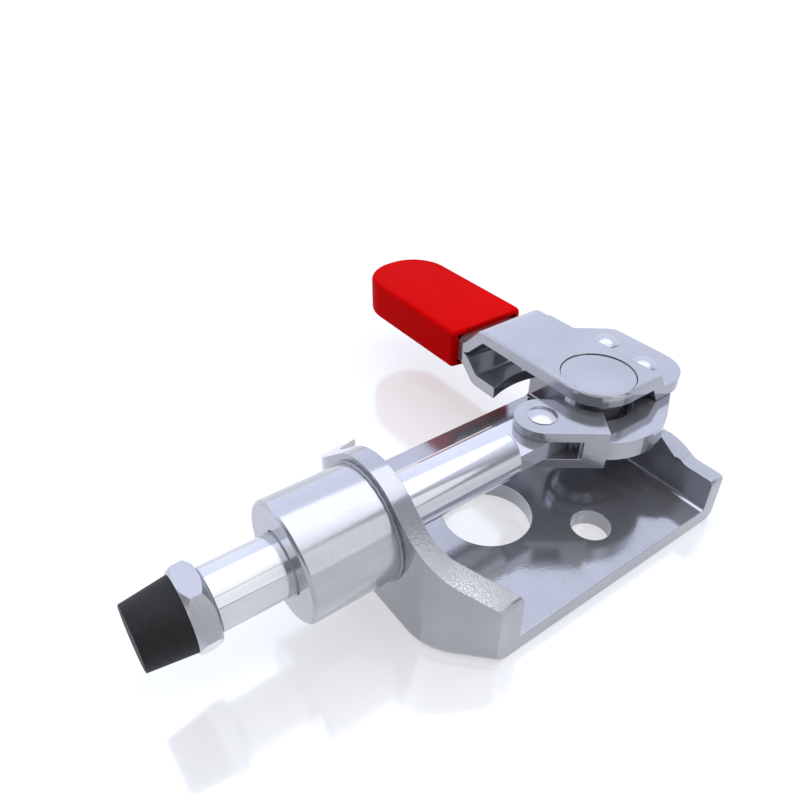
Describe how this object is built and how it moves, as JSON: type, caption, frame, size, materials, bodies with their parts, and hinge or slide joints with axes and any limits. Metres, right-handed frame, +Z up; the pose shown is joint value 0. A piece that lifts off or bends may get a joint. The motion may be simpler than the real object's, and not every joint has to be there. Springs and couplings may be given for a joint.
{
  "type": "push-pull toggle clamp",
  "caption": "Horizontal push-pull toggle clamp: a lever and link drive a guided plunger with a rubber tip out of a stamped steel base.",
  "frame": {"origin": "centre of the base plate's large hole, on the plate's underside", "axes": "+X along the plunger towards the rubber tip, +Z up from the plate, +Y away from the side where the handle lies at rest"},
  "size_m": [0.0824, 0.0694, 0.0213],
  "materials": {
    "zinc_steel": "bright zinc plating",
    "weld_metal": "plated weld bead, darker than the sheet",
    "red_vinyl": "smooth dipped vinyl",
    "black_rubber": "matt"
  },
  "bodies": {
    "base": {"base_stamping": "zinc_steel", "guide_bush": "zinc_steel", "bush_weld": "weld_metal", "pivot_pin": "zinc_steel", "pivot_spacer": "zinc_steel", "pivot_washer": "zinc_steel"},
    "handle": {"handle_upper": "zinc_steel", "handle_lower": "zinc_steel", "grip_sleeve": "red_vinyl", "arm_rivet": "zinc_steel", "stop_rivet": "zinc_steel"},
    "link": {"link": "zinc_steel", "fork_rivet_upper": "zinc_steel", "fork_rivet_lower": "zinc_steel"},
    "plunger": {"plunger_rod": "zinc_steel", "spindle_bolt": "zinc_steel", "rubber_tip": "black_rubber"}
  },
  "joints": [
    {"name": "handle_swing", "type": "hinge", "parent": "base", "child": "handle", "pos_m": [-0.0193, 0, 0.0127], "axis": [0, 0, 1], "range_deg": [-180, 0]},
    {"name": "link_turn", "type": "hinge", "parent": "handle", "child": "link", "pos_m": [-0.0297, 0, 0.0127], "axis": [0, 0, 1], "range_deg": [0, 180]},
    {"name": "plunger_slide", "type": "slide", "parent": "base", "child": "plunger", "axis": [1, 0, 0], "range_m": [0, 0.0208]}
  ],
  "couplings": [
    {"joint": "link_turn", "follows": "handle_swing", "ratio": -1},
    {"joint": "plunger_slide", "follows": "handle_swing", "m_per_rad": -0.00662}
  ]
}
